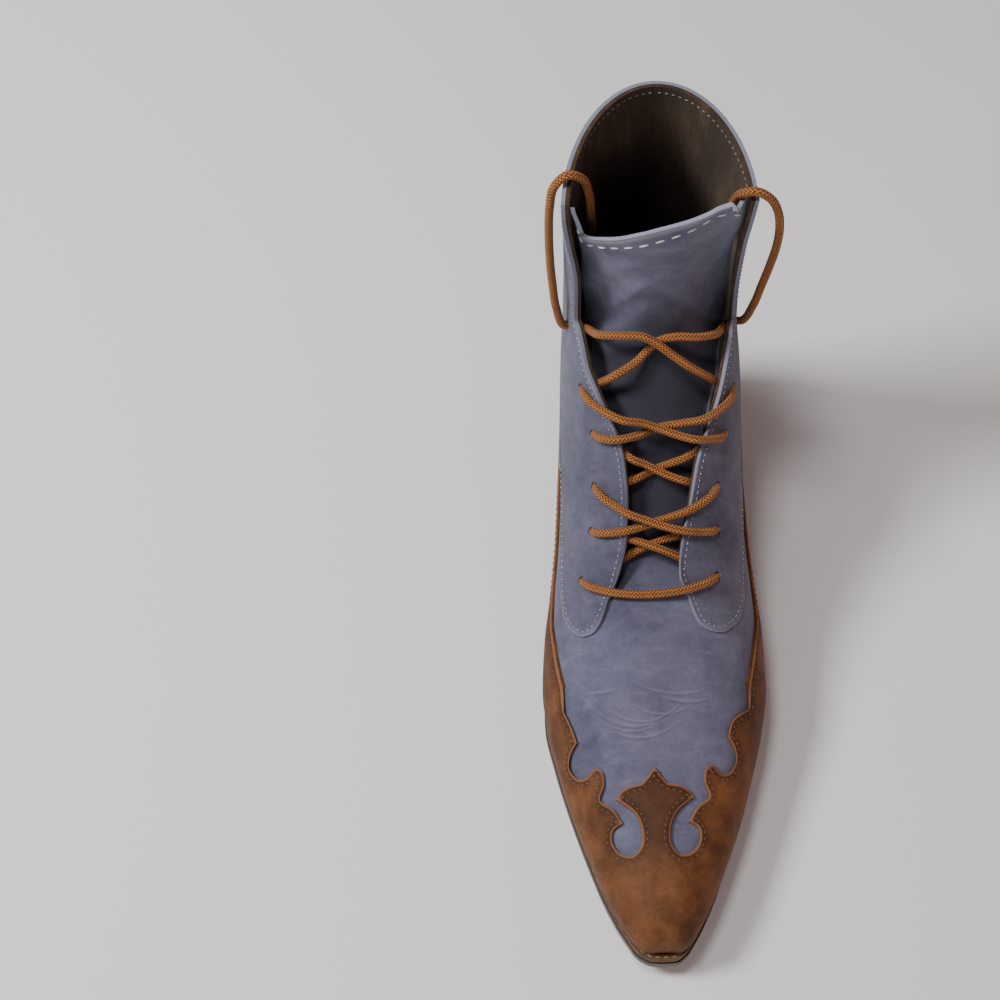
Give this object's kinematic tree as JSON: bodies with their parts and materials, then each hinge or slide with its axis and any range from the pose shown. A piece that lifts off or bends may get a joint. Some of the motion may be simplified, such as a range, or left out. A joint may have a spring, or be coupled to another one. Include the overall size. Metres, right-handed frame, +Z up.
{
  "type": "western ankle boot",
  "caption": "Pointed leather western ankle boot for the left foot, with a scalloped wing tip, a stacked heel and an open lace-up front.",
  "frame": {"origin": "middle of the heel's flat face on the floor", "axes": "+Z up, the toe points to -Y, +X is the outer side of the foot"},
  "size_m": [0.0959, 0.2882, 0.2082],
  "materials": {
    "nubuck": "matt",
    "wing_leather": "satin",
    "sole_leather": "satin",
    "welt_leather": "matt",
    "heel_rubber": "matt",
    "insole_leather": "matt",
    "lace_cord": "matt"
  },
  "bodies": {
    "root": {"outsole": "sole_leather", "welt": "welt_leather", "insole": "insole_leather", "upper": "nubuck", "tongue": "nubuck", "wing_overlay": "wing_leather", "lace_bar": "lace_cord", "lace_crossing_1": "lace_cord", "lace_crossing_2": "lace_cord", "lace_crossing_3": "lace_cord", "lace_crossing_4": "lace_cord", "lace_crossing_5": "lace_cord", "lace_loop_inner": "lace_cord", "lace_loop_outer": "lace_cord", "heel_top_piece": "heel_rubber", "heel_lift_1": "sole_leather", "heel_lift_2": "sole_leather", "heel_lift_3": "sole_leather", "heel_lift_4": "sole_leather", "heel_lift_5": "sole_leather"}
  },
  "joints": []
}
